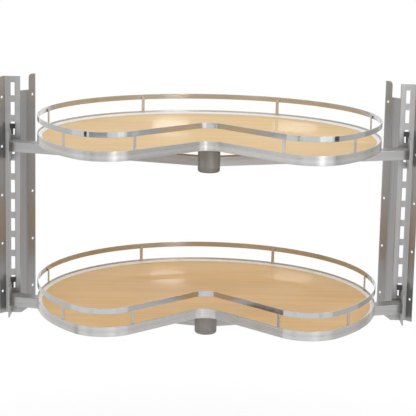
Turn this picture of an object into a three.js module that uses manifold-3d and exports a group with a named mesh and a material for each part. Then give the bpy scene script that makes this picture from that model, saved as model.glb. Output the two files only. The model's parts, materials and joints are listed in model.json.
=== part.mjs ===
// Two-tier corner carousel fitting: two kidney-shaped trays, each turning on a hub that a V of
// two arms carries. The arms hook into two slotted uprights, which screw to the cabinet's walls.
import * as THREE from 'three';
import { mergeVertices } from 'three/addons/utils/BufferGeometryUtils.js';
import Module from 'manifold-3d';

const wasm = await Module();
wasm.setup();

// ---------------------------------------------------------------------------------------------
// Driving dimensions, in mm. The origin is on the axis that the trays turn on, level with the
// lower ends of the uprights. +X is right, +Y runs back to the cabinet's corner, +Z is up.
// Sideways distances are from the axis, and the left side mirrors the right.
// ---------------------------------------------------------------------------------------------
const fitGap = 0.3;             // between a piece and its neighbour or seat
const overcut = 5;              // how far a cutter runs past what it cuts

// Uprights: one folded sheet each
const uprightHeight = 615;
const uprightSheet = 2;
const uprightBend = 2.5;        // radius of the folds, at the middle of the sheet
const webWidth = 38;
const webCentreX = 499.5;
const webY = 226;               // middle of the slotted web's sheet
const wallAngle = Math.PI / 4;  // the cabinet's walls, seen from above
const frontFlangeWidth = 20;
const rearFlangeWidth = 24;
const sideLean = THREE.MathUtils.degToRad(14.5);  // side wall, away from straight back
const flangeCorner = 9;         // radius of the flanges' upper corners
const notchDepth = 36.5;        // clearance cut at the top of the side wall, at the web
const notchFall = 4.5;          // fall of that cut's floor towards the rear flange
const notchPastFold = 2;        // how far that cut runs into the rear flange
const screwHoleRadius = 3.4;
const screwHoleEdge = 9;        // from the flange's free edge
const screwHoleFirst = 53;      // below the upright's top
const screwHolePitch = 126;

// Slots in the web
const slotWidth = 10;
const slotHeight = 33;
const slotPitch = 50;
const slotMargin = 16;          // web left above the first slot
const slotCorner = 0.8;

// Hook plates at the outer ends of the arms
const plateThickness = 3;
const plateDepth = 65;
const plateHeight = 79;
const plateRise = 16;           // top edge above the slot edge that the upper hook sits on
const hookHeight = 12;
const hookThickness = 3.5;
const hookDrop = 9;             // how far a hook reaches down behind the web

// Lock clips, pushed into the slots above the upper hooks
const clipHeadWidth = 13;
const clipHeadDepth = 7;
const clipTopMargin = 4.7;      // slot left open above the clip
const clipTonguePast = 2.5;     // tongue behind the web
const clipLegThickness = 2.4;
const clipLegLength = 15;

// Arms: tapered channels of folded sheet, open below
const armSheet = 2;
const armHeight = 25;
const armDrop = 11;             // arm's top below the slot edge that the upper hook sits on
const armFrontAtAxis = 14;      // the front face's line, where it would meet the axis plane
const armFrontAtPlate = 176;
const armDepthAtAxis = 12;
const armWebGap = 0.5;          // between the arm and the upright's web
const armInnerX = 10;           // where the arm's sheet starts beside the axis plane

// Hubs
const hubRadius = 27;
const hubWall = 4;
const hubDrop = 10;             // hub's underside below the arms
const hubEdge = 6;              // radius of its lower edge
const hubLedge = 4;             // step that the bush sits on
const bushHeight = 30;
const spindleRadius = 8;
const spindleTail = 8;          // spindle below the bush
const ringThickness = 2.5;
const ringWidth = 5;
const washerThickness = 1.5;
const washerRadius = 20;
const turntableRadius = 55;
const turntableThickness = 3;
const trayLift = 36;            // tray's underside above the arms
const trayScrewCount = 4;
const trayScrewCircle = 42;     // radius
const trayScrewRadius = 1.9;
const trayScrewBite = 8;        // into the board
const trayScrewHeadRadius = 3.6;
const trayScrewHeadHeight = 1.8;

// Trays
const trayRadius = 410;         // outside of the band and rail
const lobeRadius = 90;
const notchApex = 111;          // in front of the axis, where the notch's sides would meet
const notchRadius = 38;         // of the notch's inner corner
const bandHeight = 23;
const bandThickness = 2;
const boardThickness = 15;
const trimWidth = 9.5;
const trimHeight = 5;           // from the floor of the board's rebate
const trimRebate = 1;           // depth of that rebate, which the trim's inner edge fills
const trimCrest = 1.5;          // flat at the trim's outer edge
const railGap = 30;             // open height between band and rail
const railHeight = 13;
const railThickness = 2;
const postWidth = 8;
const postThickness = 2.5;
const postLap = 7;              // post's top behind the rail
const backPostAngle = THREE.MathUtils.degToRad(64.4);    // from +X, seen from above
const sidePostAngle = THREE.MathUtils.degToRad(13.5);
const frontPostAngle = THREE.MathUtils.degToRad(-36.5);
const notchPostBack = 10.8;     // along the notch's side, from where the lobe's curve starts

// Steps along curves
const trayArcSteps = 60;
const lobeArcSteps = 16;
const notchArcSteps = 10;
const bendSteps = 4;
const hubSteps = 32;
const shaftSteps = 24;
const holeSteps = 20;
const smallSteps = 12;
const cornerSteps = 3;
const edgeSteps = 4;

// ---------------------------------------------------------------------------------------------
// Places worked out from them
// ---------------------------------------------------------------------------------------------
const webFaceY = webY - uprightSheet / 2;
const webBackY = webY + uprightSheet / 2;
const slotCount = Math.floor((uprightHeight - 2 * slotMargin - slotHeight) / slotPitch) + 1;
const plateOuterX = webCentreX + slotWidth / 2 - fitGap;
const plateInnerX = plateOuterX - plateThickness;
const plateRearY = webFaceY - fitGap;
const hubBore = hubRadius - hubWall;
const bushBore = spindleRadius + fitGap;
const postInset = Math.max(bandThickness, railThickness);

// The lobes' arcs touch the tray's circle and the notch's 45 degree sides.
const lobeReach = trayRadius - lobeRadius;
const lobeSum = lobeRadius * Math.SQRT2 - notchApex;
const lobeX = lobeSum / 2 + Math.sqrt(lobeReach ** 2 / 2 - lobeSum ** 2 / 4);
const lobeY = lobeSum - lobeX;
const lobeAngle = Math.atan2(lobeY, lobeX);
const notchCentreY = -notchApex - notchRadius * Math.SQRT2;
const arcStep = (Math.PI - 2 * lobeAngle) / trayArcSteps;
const arcSag = trayRadius * (1 - Math.cos(arcStep / 2));

// Heights of one tier, from the slot edge that its upper hooks sit on
function tierHeights(slot) {
  const slotTop = uprightHeight - slotMargin - slot * slotPitch;
  const seat = slotTop - slotHeight;
  const armTop = seat - armDrop;
  const trayBase = armTop + trayLift;
  const turntableBase = trayBase - turntableThickness;
  const bandTop = trayBase + bandHeight;
  return {
    slotTop,
    seat,
    armTop,
    armBase: armTop - armHeight,
    plateTop: seat + plateRise,
    hubBase: armTop - armHeight - hubDrop,
    hubTop: turntableBase - fitGap - washerThickness,
    turntableBase,
    trayBase,
    boardTop: trayBase + boardThickness,
    rebateFloor: trayBase + boardThickness - trimRebate,
    bandTop,
    railBase: bandTop + railGap,
  };
}
const tiers = { upper: tierHeights(2), lower: tierHeights(slotCount - 2) };

// ---------------------------------------------------------------------------------------------
// Materials
// ---------------------------------------------------------------------------------------------
const metal = (color, roughness) =>
  new THREE.MeshStandardMaterial({ color, roughness, metalness: 1 });
const plain = (color, roughness) =>
  new THREE.MeshStandardMaterial({ color, roughness, metalness: 0 });
const steel = metal(0x9c9a97, 0.4);
const zincPlate = metal(0xa8a9aa, 0.45);
const nickel = metal(0xb9b9b8, 0.28);
const chrome = metal(0xd2d4d6, 0.1);
const hubPaint = metal(0x6b6662, 0.5);
const maple = plain(0xdcc094, 0.4);
const paleTrim = plain(0xdfe1e0, 0.4);
const blackPlastic = plain(0x1c1c1e, 0.5);
const whitePlastic = plain(0xe6e6e2, 0.45);

// ---------------------------------------------------------------------------------------------
// Solids
// ---------------------------------------------------------------------------------------------
function toSolid(geometry) {
  const bare = geometry.clone();
  bare.deleteAttribute('normal');
  bare.deleteAttribute('uv');
  const merged = mergeVertices(bare, 1e-4);
  return new wasm.Manifold(new wasm.Mesh({
    numProp: 3,
    vertProperties: new Float32Array(merged.attributes.position.array),
    triVerts: new Uint32Array(merged.index.array),
  }));
}

function toGeometry(solid) {
  const { vertProperties, triVerts } = solid.getMesh();
  const geometry = new THREE.BufferGeometry();
  geometry.setAttribute('position', new THREE.BufferAttribute(vertProperties, 3));
  geometry.setIndex(new THREE.BufferAttribute(triVerts, 1));
  return geometry;
}

function cut(geometry, cutters) {
  return toGeometry(cutters.reduce((solid, cutter) => solid.subtract(toSolid(cutter)), toSolid(geometry)));
}

function join(geometries) {
  return toGeometry(geometries.map(toSolid).reduce((whole, solid) => whole.add(solid)));
}

// A box given by its lowest and highest corners
function block([x0, y0, z0], [x1, y1, z1]) {
  const geometry = new THREE.BoxGeometry(Math.abs(x1 - x0), Math.abs(y1 - y0), Math.abs(z1 - z0));
  return geometry.translate((x0 + x1) / 2, (y0 + y1) / 2, (z0 + z1) / 2);
}

const vector = ([x, y]) => new THREE.Vector2(x, y);
const shapeOf = (points) => new THREE.Shape(points.map((p) => (p.isVector2 ? p : vector(p))));

// An outline seen from above, pulled up from one height to another
function raised(outline, fromZ, toZ) {
  const geometry = new THREE.ExtrudeGeometry(shapeOf(outline), { depth: toZ - fromZ, bevelEnabled: false });
  return geometry.translate(0, 0, fromZ);
}

// An outline in X and Z, pulled back along Y
function backward(outline, fromY, toY) {
  const geometry = new THREE.ExtrudeGeometry(shapeOf(outline), { depth: toY - fromY, bevelEnabled: false });
  return geometry.rotateX(Math.PI / 2).translate(0, toY, 0);
}

// An outline in Y and Z, pulled along X
function sideways(outline, fromX, toX) {
  const geometry = new THREE.ExtrudeGeometry(shapeOf(outline), { depth: toX - fromX, bevelEnabled: false });
  geometry.rotateX(Math.PI / 2).rotateZ(Math.PI / 2);
  return geometry.translate(fromX, 0, 0);
}

// A profile of radius and height, turned round the Z axis
function turned(profile, steps) {
  const points = profile.map(vector);
  return new THREE.LatheGeometry(points, steps).rotateX(Math.PI / 2);
}

// A ring of rectangular section, its profile closed on itself
function turnedRing(innerRadius, outerRadius, fromZ, toZ, steps) {
  return turned([
    [innerRadius, fromZ],
    [outerRadius, fromZ],
    [outerRadius, toZ],
    [innerRadius, toZ],
    [innerRadius, fromZ],
  ], steps);
}

function arcPoints(x, y, radius, from, to, steps) {
  const clockwise = to < from;
  return new THREE.EllipseCurve(x, y, radius, radius, from, to, clockwise).getPoints(steps);
}

function roundedRectangle(centreX, baseZ, width, height, radius) {
  const right = centreX + width / 2 - radius;
  const left = centreX - width / 2 + radius;
  const top = baseZ + height - radius;
  const bottom = baseZ + radius;
  const quarter = Math.PI / 2;
  return [
    ...arcPoints(right, bottom, radius, -quarter, 0, cornerSteps),
    ...arcPoints(right, top, radius, 0, quarter, cornerSteps),
    ...arcPoints(left, top, radius, quarter, 2 * quarter, cornerSteps),
    ...arcPoints(left, bottom, radius, 2 * quarter, 3 * quarter, cornerSteps),
  ];
}

// ---------------------------------------------------------------------------------------------
// Uprights
// ---------------------------------------------------------------------------------------------

// Outline of a folded sheet seen along its folds. The corners are those of its middle line.
function foldedSheet(corners, sheet, bend) {
  const heading = (a, b) => Math.atan2(b[1] - a[1], b[0] - a[0]);
  const stations = [];
  corners.forEach((corner, i) => {
    const before = i > 0 ? heading(corners[i - 1], corner) : heading(corner, corners[1]);
    const after = i < corners.length - 1 ? heading(corner, corners[i + 1]) : before;
    const turn = after - before;
    const steps = turn === 0 ? 0 : bendSteps;
    const setback = bend * Math.tan(Math.abs(turn) / 2);
    const lean = Math.sign(turn) * bend;
    const centreX = corner[0] - setback * Math.cos(before) - lean * Math.sin(before);
    const centreY = corner[1] - setback * Math.sin(before) + lean * Math.cos(before);
    for (let step = 0; step <= steps; step += 1) {
      const angle = before + (steps ? turn * step / steps : 0);
      stations.push({
        x: centreX + lean * Math.sin(angle),
        y: centreY - lean * Math.cos(angle),
        angle,
      });
    }
  });
  const face = (offset) => stations.map(({ x, y, angle }) => [
    x - offset * Math.sin(angle),
    y + offset * Math.cos(angle),
  ]);
  return [...face(sheet / 2), ...face(-sheet / 2).reverse()];
}

// The folds of an upright's middle line, from the front flange's edge to the rear flange's
function uprightCorners(side) {
  const webOuterX = webCentreX + webWidth / 2;
  const webInnerX = webCentreX - webWidth / 2;
  const alongX = Math.cos(wallAngle);
  const alongY = Math.sin(wallAngle);
  const sideLength = webWidth * alongY
    / (Math.cos(sideLean) * alongX - Math.sin(sideLean) * alongY);
  const foldX = webInnerX - sideLength * Math.sin(sideLean);
  const foldY = webY + sideLength * Math.cos(sideLean);
  return [
    [side * (webOuterX + frontFlangeWidth * alongX), webY - frontFlangeWidth * alongY],
    [side * webOuterX, webY],
    [side * webInnerX, webY],
    [side * foldX, foldY],
    [side * (foldX - rearFlangeWidth * alongX), foldY + rearFlangeWidth * alongY],
  ];
}

// What is cut away round an upper corner that faces outward along X on a flange
function cornerWaste(x, outward) {
  const reach = flangeCorner * Math.cos(wallAngle);
  const curve = new THREE.EllipseCurve(
    x - outward * reach,
    uprightHeight - flangeCorner,
    reach,
    flangeCorner,
    outward > 0 ? 0 : Math.PI,
    Math.PI / 2,
    outward < 0,
  );
  return [
    [x + outward * overcut, uprightHeight - flangeCorner],
    ...curve.getPoints(edgeSteps),
    [x - outward * reach, uprightHeight + overcut],
    [x + outward * overcut, uprightHeight + overcut],
  ];
}

function screwHole(edge, fold, side, z) {
  const width = Math.hypot(fold[0] - edge[0], fold[1] - edge[1]);
  const share = screwHoleEdge / width;
  const geometry = new THREE.CylinderGeometry(
    screwHoleRadius, screwHoleRadius, uprightSheet + 2 * overcut, holeSteps);
  geometry.rotateZ(side * (wallAngle - Math.PI / 2));
  return geometry.translate(
    edge[0] + share * (fold[0] - edge[0]),
    edge[1] + share * (fold[1] - edge[1]),
    z,
  );
}

function upright(side) {
  const corners = uprightCorners(side);
  const [frontEdge, frontFold, webEdge, rearFold, rearEdge] = corners;
  const body = raised(foldedSheet(corners, uprightSheet, uprightBend), 0, uprightHeight);
  const cutters = [];
  for (let slot = 0; slot < slotCount; slot += 1) {
    const base = uprightHeight - slotMargin - slot * slotPitch - slotHeight;
    const outline = roundedRectangle(side * webCentreX, base, slotWidth, slotHeight, slotCorner);
    cutters.push(backward(outline, webFaceY - overcut, webBackY + overcut));
  }
  for (let z = uprightHeight - screwHoleFirst; z > screwHoleEdge; z -= screwHolePitch) {
    cutters.push(screwHole(frontEdge, frontFold, side, z));
    cutters.push(screwHole(rearEdge, rearFold, side, z));
  }
  const notchFloor = uprightHeight - notchDepth;
  const tongueX = rearFold[0] - side * notchPastFold;
  const behind = rearEdge[1] + overcut;
  cutters.push(backward([
    [webEdge[0], notchFloor],
    [tongueX, notchFloor - notchFall],
    [tongueX, uprightHeight + overcut],
    [webEdge[0], uprightHeight + overcut],
  ], webFaceY - overcut, behind));
  cutters.push(backward(cornerWaste(tongueX, side), webBackY + overcut, behind));
  cutters.push(backward(cornerWaste(frontEdge[0], side), frontEdge[1] - overcut, webBackY + overcut));
  return cut(body, cutters);
}

// ---------------------------------------------------------------------------------------------
// Hook plates, clips and arms
// ---------------------------------------------------------------------------------------------

function hookPlate(side, tier) {
  const hookInnerY = webBackY + fitGap;
  const hookOuterY = hookInnerY + hookThickness;
  const hook = (seat) => [
    [plateRearY, seat + fitGap],
    [hookInnerY, seat + fitGap],
    [hookInnerY, seat - hookDrop],
    [hookOuterY, seat - hookDrop],
    [hookOuterY, seat + hookHeight],
    [plateRearY, seat + hookHeight],
  ];
  const base = tier.plateTop - plateHeight;
  const outline = [
    [plateRearY - plateDepth, base],
    [plateRearY, base],
    ...hook(tier.seat - slotPitch),
    ...hook(tier.seat),
    [plateRearY, tier.plateTop],
    [plateRearY - plateDepth, tier.plateTop],
  ];
  const nearX = side > 0 ? plateInnerX : -plateOuterX;
  return sideways(outline, nearX, nearX + plateThickness);
}

function lockClip(side, tier) {
  const headBase = tier.plateTop + fitGap;
  const headTop = tier.slotTop - clipTopMargin;
  const headRearY = webFaceY - fitGap;
  const tongueRearY = webBackY + clipTonguePast;
  const tongueHalf = slotWidth / 2 - fitGap;
  const legOuterX = plateInnerX - fitGap;
  const legInnerX = legOuterX - clipLegThickness;
  const lap = fitGap;           // how far the three shapes run into each other
  const head = block(
    [side * webCentreX - clipHeadWidth / 2, headRearY - clipHeadDepth, headBase],
    [side * webCentreX + clipHeadWidth / 2, headRearY, headTop],
  );
  const tongue = block(
    [side * webCentreX - tongueHalf, headRearY - lap, headBase + lap],
    [side * webCentreX + tongueHalf, tongueRearY, headTop - lap],
  );
  const leg = block(
    [side * legInnerX, headRearY - clipHeadDepth + lap, headBase - clipLegLength],
    [side * legOuterX, tongueRearY - lap, headBase + 2 * lap],
  );
  return join([head, tongue, leg]);
}

function arm(side, tier) {
  const frontSlope = (armFrontAtPlate - armFrontAtAxis) / plateInnerX;
  const rearAtPlate = webFaceY - armWebGap;
  const rearAtAxis = armFrontAtAxis + armDepthAtAxis;
  const rearSlope = (rearAtPlate - rearAtAxis) / plateInnerX;
  const frontY = (x) => armFrontAtAxis + frontSlope * x;
  const rearY = (x) => rearAtAxis + rearSlope * x;
  const plan = (fromX, toX, sheet) => [
    [side * fromX, frontY(fromX) + sheet * Math.hypot(1, frontSlope)],
    [side * toX, frontY(toX) + sheet * Math.hypot(1, frontSlope)],
    [side * toX, rearY(toX) - sheet * Math.hypot(1, rearSlope)],
    [side * fromX, rearY(fromX) - sheet * Math.hypot(1, rearSlope)],
  ];
  const outside = raised(plan(armInnerX, plateInnerX, 0), tier.armBase, tier.armTop);
  const inside = raised(
    plan(armInnerX - overcut, plateInnerX - armSheet, armSheet),
    tier.armBase - overcut,
    tier.armTop - armSheet,
  );
  const hubRoom = new THREE.CylinderGeometry(
    hubRadius + fitGap, hubRadius + fitGap, armHeight + 2 * overcut, hubSteps);
  hubRoom.rotateX(Math.PI / 2).translate(0, 0, (tier.armBase + tier.armTop) / 2);
  return cut(outside, [inside, hubRoom]);
}

// ---------------------------------------------------------------------------------------------
// Hubs
// ---------------------------------------------------------------------------------------------

function hubHousing(tier) {
  const bushBase = tier.hubTop - bushHeight;
  const wellRadius = hubBore - hubLedge;
  const centreZ = tier.hubBase + hubEdge;
  const edge = arcPoints(hubRadius - hubEdge, centreZ, hubEdge, -Math.PI / 2, 0, edgeSteps);
  return turned([
    [0, tier.hubBase],
    ...edge.map(({ x, y }) => [x, y]),
    [hubRadius, tier.hubTop],
    [hubBore, tier.hubTop],
    [hubBore, bushBase],
    [wellRadius, bushBase],
    [wellRadius, tier.hubBase + hubWall],
    [0, tier.hubBase + hubWall],
  ], hubSteps);
}

function hubBush(tier) {
  return turnedRing(bushBore, hubBore - fitGap, tier.hubTop - bushHeight, tier.hubTop, shaftSteps);
}

function thrustWasher(tier) {
  return turnedRing(bushBore, washerRadius, tier.hubTop, tier.hubTop + washerThickness, shaftSteps);
}

function spindle(tier) {
  const base = tier.hubTop - bushHeight - spindleTail;
  return turned([
    [0, base],
    [spindleRadius, base],
    [spindleRadius, tier.turntableBase],
    [0, tier.turntableBase],
  ], shaftSteps);
}

function retainingRing(tier) {
  const top = tier.hubTop - bushHeight - fitGap;
  return turnedRing(bushBore, bushBore + ringWidth, top - ringThickness, top, shaftSteps);
}

function aroundScrewCircle(build) {
  return Array.from({ length: trayScrewCount }, (_, i) => {
    const angle = (i + 0.5) * 2 * Math.PI / trayScrewCount;
    return build(trayScrewCircle * Math.cos(angle), trayScrewCircle * Math.sin(angle), i + 1);
  });
}

function screwRoom(tier) {
  const radius = trayScrewRadius + fitGap;
  const base = tier.turntableBase - overcut;
  const top = tier.trayBase + trayScrewBite + fitGap;
  return (x, y) => turned([[0, base], [radius, base], [radius, top], [0, top]], smallSteps)
    .translate(x, y, 0);
}

function turntable(tier) {
  const disc = turned([
    [0, tier.turntableBase],
    [turntableRadius, tier.turntableBase],
    [turntableRadius, tier.trayBase],
    [0, tier.trayBase],
  ], hubSteps);
  return cut(disc, aroundScrewCircle(screwRoom(tier)));
}

function trayScrew(tier) {
  const head = tier.turntableBase - trayScrewHeadHeight;
  const tip = tier.trayBase + trayScrewBite;
  return turned([
    [0, head],
    [trayScrewHeadRadius, head],
    [trayScrewHeadRadius, tier.turntableBase],
    [trayScrewRadius, tier.turntableBase],
    [trayScrewRadius, tip - trayScrewRadius],
    [0, tip],
  ], smallSteps);
}

// ---------------------------------------------------------------------------------------------
// Trays
// ---------------------------------------------------------------------------------------------

// The kidney outline, drawn in from the band's outside by an inset, counter-clockwise from above
function trayOutline(inset) {
  const lobe = lobeRadius - inset;
  const eighth = Math.PI / 4;
  const aroundBack = arcPoints(0, 0, trayRadius - inset, lobeAngle, Math.PI - lobeAngle, trayArcSteps);
  const leftLobe = arcPoints(-lobeX, lobeY, lobe, Math.PI - lobeAngle, 7 * eighth, lobeArcSteps);
  const notch = arcPoints(0, notchCentreY, notchRadius + inset, 3 * eighth, eighth, notchArcSteps);
  const rightLobe = arcPoints(lobeX, lobeY, lobe, 5 * eighth, 8 * eighth + lobeAngle, lobeArcSteps);
  return [...aroundBack.slice(0, -1), ...leftLobe, ...notch, ...rightLobe.slice(0, -1)];
}

// A ring along the tray's edge. Its section's corners are [inset, height], going up outside.
function edgeRing(section) {
  const loops = section.map(([inset, z]) => trayOutline(inset).map(({ x, y }) => [x, y, z]));
  const around = loops[0].length;
  const index = [];
  for (let i = 0; i < loops.length; i += 1) {
    for (let j = 0; j < around; j += 1) {
      const here = i * around;
      const next = ((i + 1) % loops.length) * around;
      const after = (j + 1) % around;
      index.push(here + j, here + after, next + after);
      index.push(here + j, next + after, next + j);
    }
  }
  const geometry = new THREE.BufferGeometry();
  geometry.setAttribute('position', new THREE.Float32BufferAttribute(loops.flat(2), 3));
  geometry.setIndex(index);
  return geometry;
}

function flatBar(thickness, fromZ, toZ) {
  return edgeRing([[0, fromZ], [0, toZ], [thickness, toZ], [thickness, fromZ]]);
}

// Where the posts stand: name, place and the direction that each faces, out of the tray
function postPlaces() {
  const depth = postInset + fitGap + arcSag + postThickness / 2;
  const notchPostX = lobeX - (lobeRadius + notchPostBack) * Math.SQRT1_2;
  const onCircle = (name, angle) => ({
    name,
    x: (trayRadius - depth) * Math.cos(angle),
    y: (trayRadius - depth) * Math.sin(angle),
    facing: angle,
  });
  const besideNotch = (name, side) => ({
    name,
    x: side * (notchPostX + depth * Math.SQRT1_2),
    y: -notchApex - notchPostX + depth * Math.SQRT1_2,
    facing: side > 0 ? -3 * Math.PI / 4 : -Math.PI / 4,
  });
  return [
    onCircle('right_back', backPostAngle),
    onCircle('left_back', Math.PI - backPostAngle),
    onCircle('right_side', sidePostAngle),
    onCircle('left_side', Math.PI - sidePostAngle),
    onCircle('right_front', frontPostAngle),
    onCircle('left_front', Math.PI - frontPostAngle),
    besideNotch('right_notch', 1),
    besideNotch('left_notch', -1),
  ];
}

function post(tier) {
  const top = tier.railBase + postLap;
  return block(
    [-postThickness / 2, -postWidth / 2, tier.rebateFloor],
    [postThickness / 2, postWidth / 2, top],
  );
}

function postRoom(place, tier) {
  const room = postThickness + 2 * (fitGap + arcSag);
  const width = postWidth + 2 * fitGap;
  const geometry = block(
    [-room / 2, -width / 2, tier.rebateFloor - overcut],
    [room + overcut, width / 2, tier.rebateFloor + trimHeight + overcut],
  );
  return geometry.rotateZ(place.facing).translate(place.x, place.y, 0);
}

function board(tier) {
  const inset = bandThickness + fitGap;
  const face = inset + trimWidth + fitGap;
  const whole = join([
    raised(trayOutline(inset), tier.trayBase, tier.rebateFloor),
    raised(trayOutline(face), tier.trayBase, tier.boardTop),
  ]);
  return cut(whole, aroundScrewCircle(screwRoom(tier)));
}

function edgeTrim(tier) {
  const outer = bandThickness + fitGap;
  const inner = outer + trimWidth;
  const z = tier.rebateFloor;
  const ring = edgeRing([
    [outer, z],
    [outer, z + trimHeight],
    [outer + trimCrest, z + trimHeight],
    [inner, tier.boardTop],
    [inner, z],
  ]);
  return cut(ring, postPlaces().map((place) => postRoom(place, tier)));
}

// ---------------------------------------------------------------------------------------------
// The assembly
// ---------------------------------------------------------------------------------------------
const carousel = new THREE.Group();

function add(parent, name, geometry, material) {
  const mesh = new THREE.Mesh(geometry, material);
  mesh.name = name;
  parent.add(mesh);
  return mesh;
}

function addCarrier(tierName, tier) {
  const carrier = new THREE.Group();
  for (const [sideName, side] of [['left', -1], ['right', 1]]) {
    add(carrier, `${tierName}_${sideName}_hook_plate`, hookPlate(side, tier), steel);
    add(carrier, `${tierName}_${sideName}_lock_clip`, lockClip(side, tier), blackPlastic);
    add(carrier, `${tierName}_${sideName}_arm`, arm(side, tier), steel);
  }
  add(carrier, `${tierName}_hub_housing`, hubHousing(tier), hubPaint);
  add(carrier, `${tierName}_hub_bush`, hubBush(tier), whitePlastic);
  add(carrier, `${tierName}_thrust_washer`, thrustWasher(tier), whitePlastic);
  carousel.add(carrier);
}

function addTray(tierName, tier) {
  const tray = new THREE.Group();
  add(tray, `${tierName}_spindle`, spindle(tier), zincPlate);
  add(tray, `${tierName}_retaining_ring`, retainingRing(tier), zincPlate);
  add(tray, `${tierName}_turntable_plate`, turntable(tier), zincPlate);
  aroundScrewCircle((x, y, number) => {
    const screw = add(tray, `${tierName}_tray_screw_${number}`, trayScrew(tier), zincPlate);
    screw.position.set(x, y, 0);
  });
  add(tray, `${tierName}_board`, board(tier), maple);
  add(tray, `${tierName}_edge_trim`, edgeTrim(tier), paleTrim);
  add(tray, `${tierName}_band`, flatBar(bandThickness, tier.trayBase, tier.bandTop), nickel);
  const railTop = tier.railBase + railHeight;
  add(tray, `${tierName}_rail`, flatBar(railThickness, tier.railBase, railTop), chrome);
  for (const place of postPlaces()) {
    const standing = add(tray, `${tierName}_${place.name}_post`, post(tier), nickel);
    standing.position.set(place.x, place.y, 0);
    standing.rotation.z = place.facing;
  }
  carousel.add(tray);
}

add(carousel, 'left_upright', upright(-1), steel);
add(carousel, 'right_upright', upright(1), steel);
for (const [tierName, tier] of Object.entries(tiers)) {
  addCarrier(tierName, tier);
  addTray(tierName, tier);
}

export default carousel;
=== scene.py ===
"""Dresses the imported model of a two-tier corner carousel: steel, plated bars, maple trays and hubs.

Lengths are in metres. +X is right, +Y runs back to the cabinet's corner, +Z is up, and the trays
turn about the Z axis. Each visible piece stands for the node of the model whose place it takes.
"""
import json
import math

import bmesh
import bpy
from bpy.props import FloatProperty, FloatVectorProperty, IntProperty, PointerProperty
from mathutils import Euler, Matrix, Vector


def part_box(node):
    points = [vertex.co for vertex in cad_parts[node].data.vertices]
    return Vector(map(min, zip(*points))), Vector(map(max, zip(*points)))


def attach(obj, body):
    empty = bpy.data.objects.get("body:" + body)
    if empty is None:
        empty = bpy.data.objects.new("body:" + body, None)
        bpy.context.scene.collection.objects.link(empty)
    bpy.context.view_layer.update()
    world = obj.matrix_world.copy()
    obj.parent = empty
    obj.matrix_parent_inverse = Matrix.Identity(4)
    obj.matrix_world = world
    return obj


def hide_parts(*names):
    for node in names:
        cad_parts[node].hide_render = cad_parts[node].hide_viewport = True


bl_info = {
    "name": "Corner carousel",
    "version": (1, 0, 0),
    "blender": (4, 5, 0),
    "location": "3D View > Sidebar > Carousel",
    "description": "Dresses a corner carousel fitting with kidney-shaped maple trays",
    "category": "Object",
}

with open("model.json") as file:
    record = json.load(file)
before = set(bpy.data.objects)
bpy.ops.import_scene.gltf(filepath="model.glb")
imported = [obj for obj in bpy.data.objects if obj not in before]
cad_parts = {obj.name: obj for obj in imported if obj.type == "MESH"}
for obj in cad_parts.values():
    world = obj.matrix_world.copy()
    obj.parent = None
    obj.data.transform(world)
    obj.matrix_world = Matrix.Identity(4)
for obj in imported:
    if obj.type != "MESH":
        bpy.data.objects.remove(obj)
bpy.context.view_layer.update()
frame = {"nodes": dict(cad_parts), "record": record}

TIERS = ("upper", "lower")
SIDES = ("left", "right")
TRAY_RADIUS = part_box("upper_band")[1].x
WELD = 1e-6                        # points closer than this are one point
FLAT = math.radians(0.5)           # faces this close to level with each other are one face
CREASE = math.radians(32)          # edges that turn more than this are shaded sharp
STRAIGHT_SIDE = math.pi / 4        # the notch's sides, from straight back


# ---- Settings ----------------------------------------------------
def length(name, description, default, precision=5):
    return FloatProperty(
        name=name, description=description, default=default, min=0, unit="LENGTH", precision=precision
    )


def angle(name, description, degrees):
    return FloatProperty(
        name=name,
        description=description,
        default=math.radians(degrees),
        subtype="ANGLE",
        unit="ROTATION",
    )


def colour(name, description, default):
    return FloatVectorProperty(
        name=name, description=description, default=default, size=3, min=0, max=1, subtype="COLOR"
    )


def factor(name, description, default):
    return FloatProperty(
        name=name, description=description, default=default, min=0, max=1, subtype="FACTOR"
    )


class SheetSettings(bpy.types.PropertyGroup):
    """Edges and folds of the sheet steel."""

    edge_radius: length("Cut edge", "Rounding of the sheet's cut edges", 0.0003)
    plate_edge: length("Plate edge", "Rounding of the hook plates' edges", 0.0005)
    fold_radius: length("Arm fold", "Outer radius of the arms' long folds", 0.0026)
    sharp_angle: angle("Sharp angle", "Edges that turn more than this are rounded", 32)


class TraySettings(bpy.types.PropertyGroup):
    """The kidney outline and the bars and strips along it."""

    lobe_radius: length("Lobe radius", "Radius of the two front lobes", 0.090)
    notch_apex: length("Notch apex", "From the axis to where the notch's sides would meet", 0.111)
    notch_radius: length("Notch radius", "Radius of the notch's inner corner", 0.038)
    arc_step: angle("Arc step", "Turn between neighbouring points on the curves", 1.5)
    bar_thickness: length("Bar thickness", "Thickness of the band and the rail", 0.002)
    bar_edge: length("Bar edge", "Rounding of the band's and the rail's edges", 0.0006)
    fit_gap: length("Fit gap", "Gap between the board or trim and its neighbour", 0.0003)
    board_edge: length("Board edge", "Rounding of the board's edges", 0.0008)
    trim_width: length("Trim width", "Width of the sloped edge trim", 0.0095)
    trim_crest: length("Trim crest", "Flat top of the trim beside the band", 0.0015)
    trim_edge: length("Trim edge", "Rounding of the trim's crest", 0.0006)
    trim_lip: length("Trim lip", "Thickness of the trim's inner edge, let into the board", 0.001)
    post_edge: length("Post edge", "Rounding of the posts' long edges", 0.0007)


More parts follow.
